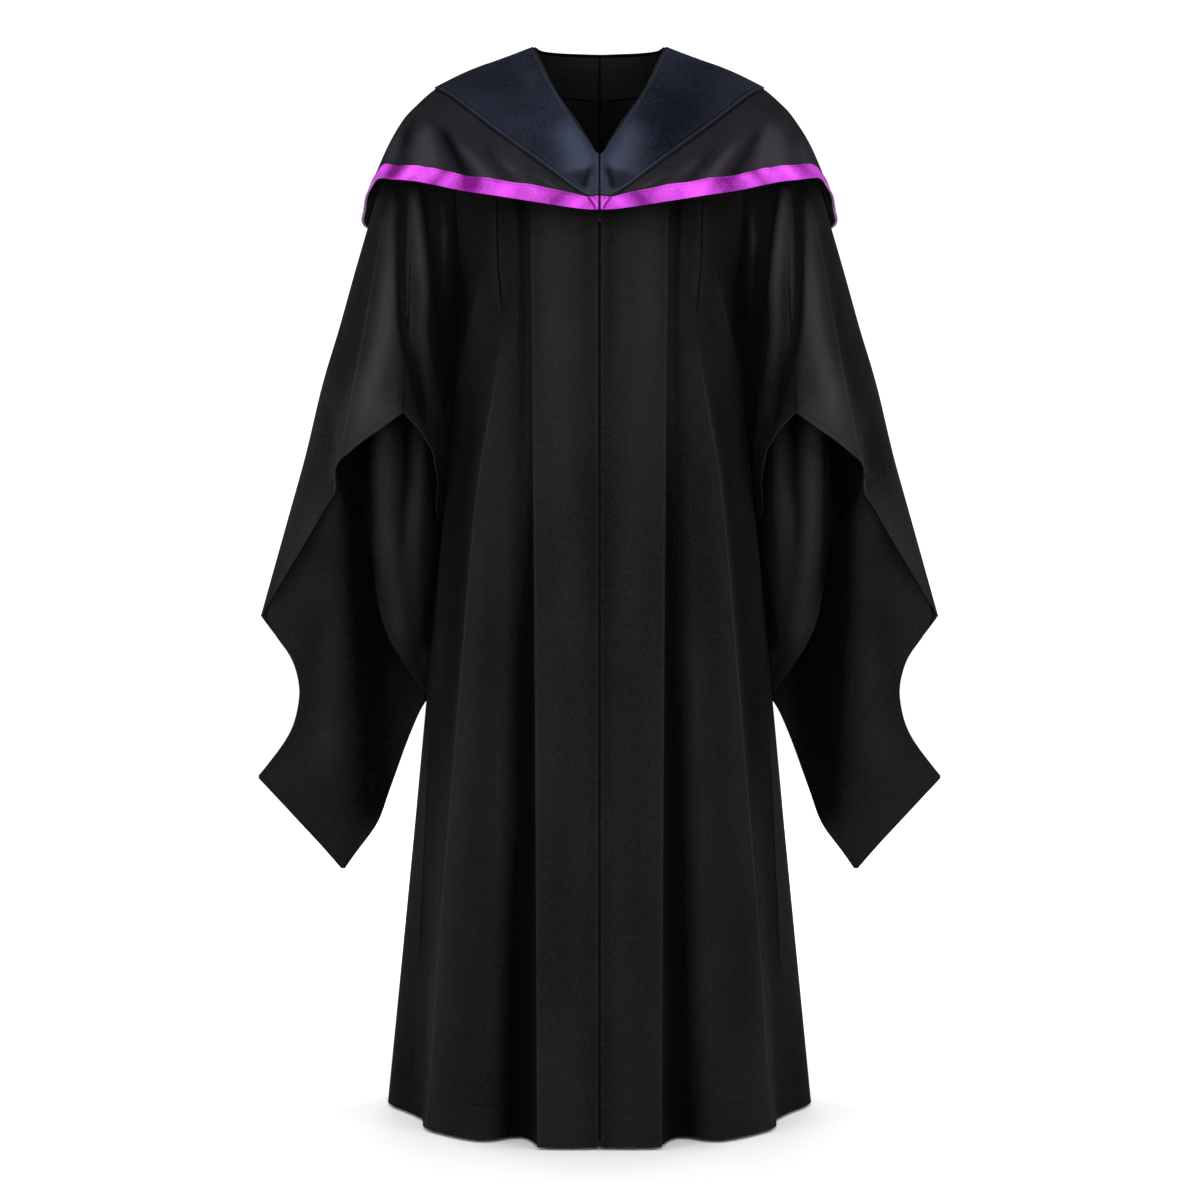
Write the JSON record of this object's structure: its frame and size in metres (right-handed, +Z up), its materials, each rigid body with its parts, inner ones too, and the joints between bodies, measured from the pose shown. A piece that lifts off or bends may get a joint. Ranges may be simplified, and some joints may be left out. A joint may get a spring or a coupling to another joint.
{
  "type": "graduation gown with shoulder hood",
  "caption": "Long black graduation gown kept as worn, with wide cut-away sleeves, a closed front zip and a V-collared shoulder hood edged with ribbon.",
  "frame": {"origin": "midway between the two high points of the shoulders, where the wearer's shoulders hold the gown up", "axes": "+Z up, -Y the front of the gown, +X the wearer's left"},
  "size_m": [0.7686, 0.4105, 1.2043],
  "materials": {
    "gown_cloth": "matte fine-weave polyester suiting, black",
    "hood_satin": "soft black satin",
    "collar_satin": "navy satin with a fine diagonal weave",
    "ribbon_satin": "glossy magenta satin ribbon",
    "zip_chain": "black nylon coil",
    "zip_slider_enamel": "black enamel"
  },
  "bodies": {
    "gown": {"hood_shell_left": "hood_satin", "hood_shell_right": "hood_satin", "collar_left": "collar_satin", "collar_right": "collar_satin", "ribbon_left": "ribbon_satin", "ribbon_right": "ribbon_satin", "front_band_left": "gown_cloth", "front_band_right": "gown_cloth", "front_left": "gown_cloth", "front_right": "gown_cloth", "back_left": "gown_cloth", "back_right": "gown_cloth", "yoke_left": "gown_cloth", "yoke_right": "gown_cloth", "sleeve_front_left": "gown_cloth", "sleeve_front_right": "gown_cloth", "sleeve_back_left": "gown_cloth", "sleeve_back_right": "gown_cloth", "sleeve_fall_left": "gown_cloth", "sleeve_fall_right": "gown_cloth", "sleeve_tail_left": "gown_cloth", "sleeve_tail_right": "gown_cloth", "zip_chain": "zip_chain", "zip_slider": "zip_slider_enamel"},
    "pull": {"zip_pull": "zip_slider_enamel"}
  },
  "joints": [
    {"name": "pull_hinge", "type": "hinge", "parent": "gown", "child": "pull", "pos_m": [0, -0.1588, -0.20246], "axis": [-1, 0, 0], "range_deg": [0, 165]}
  ]
}
